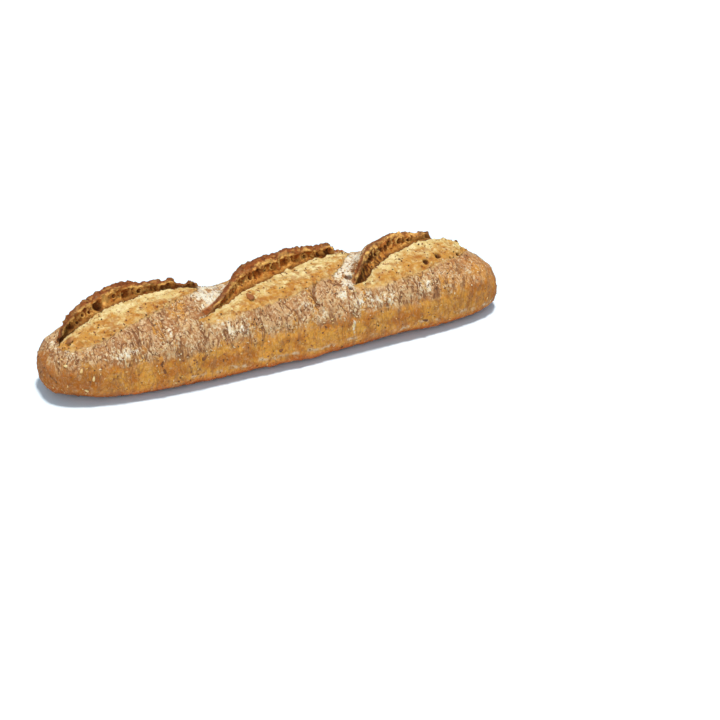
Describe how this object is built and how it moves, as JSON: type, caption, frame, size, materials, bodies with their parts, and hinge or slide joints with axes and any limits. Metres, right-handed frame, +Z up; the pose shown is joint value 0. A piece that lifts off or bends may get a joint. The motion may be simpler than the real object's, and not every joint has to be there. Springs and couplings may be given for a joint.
{
  "type": "multigrain baguette",
  "caption": "Short whole baguette with slashes opened into leaning ears, pale blooms beside them, a floured browned crust with seeds, and a flat base.",
  "frame": {"origin": "centre of the loaf's outline, on the surface it rests on", "axes": "+X along the loaf towards its slimmer end, +Y across it towards the backs of the ears, +Z up"},
  "size_m": [0.2698, 0.0642, 0.0485],
  "materials": {
    "crust": "baked crust, matt, floured and seeded"
  },
  "bodies": {
    "root": {"baguette": "crust"}
  },
  "joints": []
}
